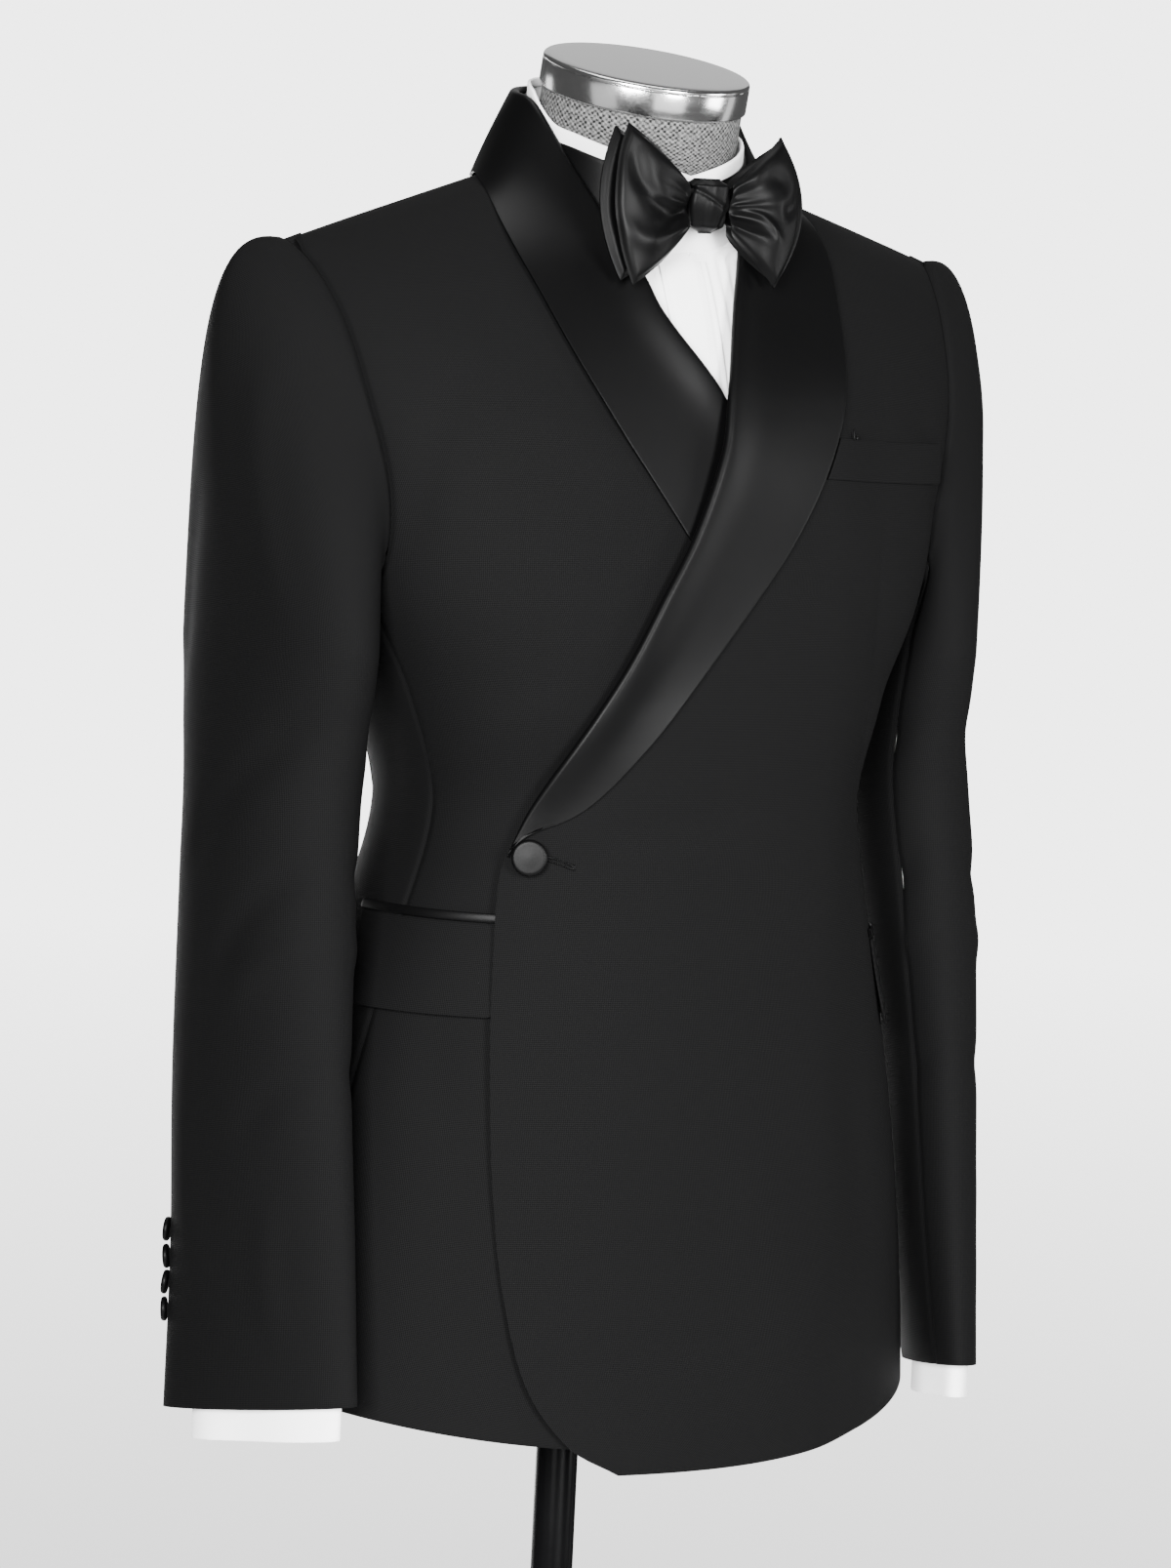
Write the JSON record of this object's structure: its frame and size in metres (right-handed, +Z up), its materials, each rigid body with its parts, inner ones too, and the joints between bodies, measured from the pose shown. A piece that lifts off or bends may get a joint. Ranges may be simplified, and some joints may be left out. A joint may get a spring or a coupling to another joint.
{
  "type": "shawl collar tuxedo jacket with shirt and bow tie on a limbless dress form stand",
  "caption": "Wrap-front dinner jacket with satin shawl collar, white shirt and bow tie, worn by a limbless linen dress form on a pole and round base.",
  "frame": {"origin": "bottom centre of the stand's round base, on the floor", "axes": "+Z up, +X towards the wearer's left, the wearer faces -Y"},
  "size_m": [0.5278, 0.36, 1.5817],
  "materials": {
    "jacket_cloth": "matte fine wool hopsack",
    "satin": "soft satin",
    "shirt_cloth": "fine cotton poplin",
    "form_linen": "coarse grey linen",
    "cap_steel": "brushed",
    "stand_black": "gloss black"
  },
  "bodies": {
    "root": {"base_plate": "stand_black", "bow_knot": "satin", "bow_left_back_wing": "satin", "bow_left_front_wing": "satin", "bow_neckband": "satin", "bow_right_back_wing": "satin", "bow_right_front_wing": "satin", "breast_welt": "jacket_cloth", "collar_stand": "jacket_cloth", "dress_form": "form_linen", "front_button": "satin", "left_back": "jacket_cloth", "left_front": "jacket_cloth", "left_pocket_flap": "jacket_cloth", "left_pocket_jetting": "satin", "left_shawl_collar": "satin", "left_side_panel": "jacket_cloth", "left_sleeve_button_1": "satin", "left_sleeve_button_2": "satin", "left_sleeve_button_3": "satin", "left_sleeve_button_4": "satin", "left_top_sleeve": "jacket_cloth", "left_under_sleeve": "jacket_cloth", "neck_cap": "cap_steel", "pole_flange": "stand_black", "pole_foot": "stand_black", "right_back": "jacket_cloth", "right_front": "jacket_cloth", "right_pocket_flap": "jacket_cloth", "right_pocket_jetting": "satin", "right_shawl_collar": "satin", "right_side_panel": "jacket_cloth", "right_sleeve_button_1": "satin", "right_sleeve_button_2": "satin", "right_sleeve_button_3": "satin", "right_sleeve_button_4": "satin", "right_top_sleeve": "jacket_cloth", "right_under_sleeve": "jacket_cloth", "shirt_back": "shirt_cloth", "shirt_collar": "shirt_cloth", "shirt_left_cuff": "shirt_cloth", "shirt_left_front": "shirt_cloth", "shirt_left_sleeve": "shirt_cloth", "shirt_placket": "shirt_cloth", "shirt_right_cuff": "shirt_cloth", "shirt_right_front": "shirt_cloth", "shirt_right_sleeve": "shirt_cloth", "stand_pole": "stand_black"}
  },
  "joints": []
}
